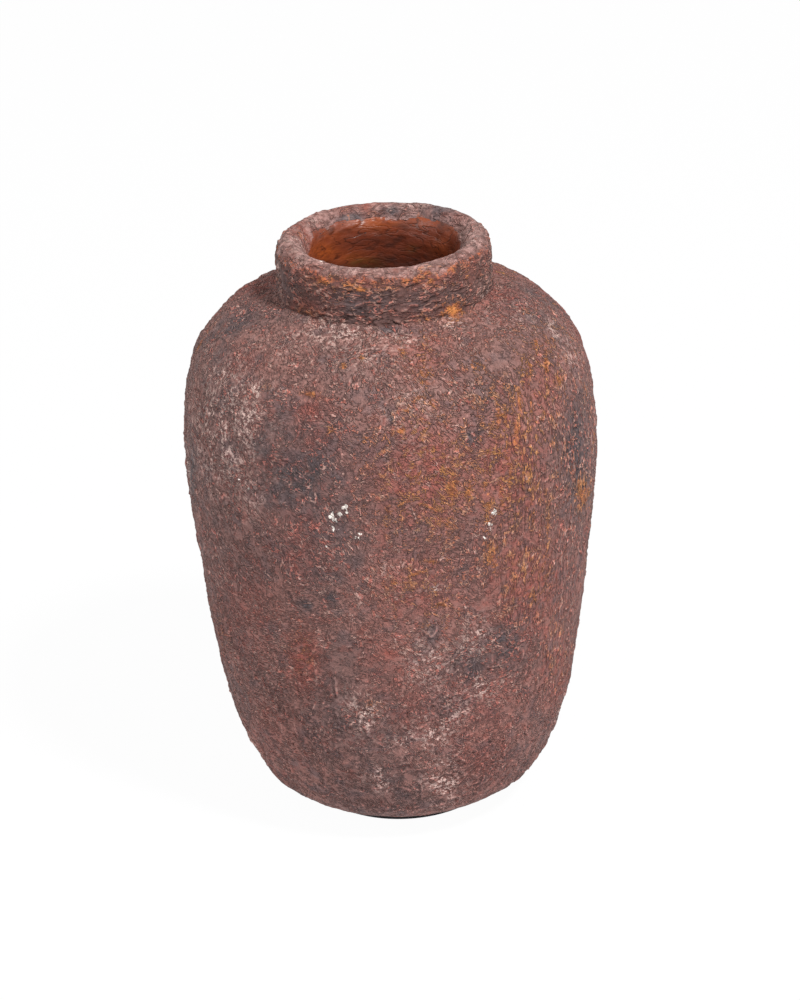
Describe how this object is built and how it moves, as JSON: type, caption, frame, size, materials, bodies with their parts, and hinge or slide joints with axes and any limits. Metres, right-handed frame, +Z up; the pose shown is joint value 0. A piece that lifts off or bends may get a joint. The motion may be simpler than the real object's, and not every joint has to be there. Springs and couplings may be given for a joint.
{
  "type": "vase",
  "caption": "Ovoid terracotta jar vase with a thick collar, a rough daubed outer coat, a lacquered inside and a soft pad under its foot.",
  "frame": {"origin": "centre of the base pad's underside, on the surface that the vase stands on", "axes": "+Z up along the vase's axis; -Y towards the viewer of the picture, +X to the viewer's right"},
  "size_m": [0.264, 0.2642, 0.385],
  "materials": {
    "foot_pad": "matte closed-cell foam",
    "fired_clay": "matte unglazed terracotta",
    "rough_coat": "matte daubed mineral coat, dry-brushed",
    "amber_lacquer": "glossy brushed lacquer"
  },
  "bodies": {
    "root": {"base_pad": "foot_pad", "base_slab": "fired_clay", "lower_wall": "fired_clay", "upper_wall": "fired_clay", "neck_ring": "fired_clay", "rim_band": "fired_clay", "body_coat": "rough_coat", "rim_coat": "rough_coat", "inner_lining": "amber_lacquer"}
  },
  "joints": []
}
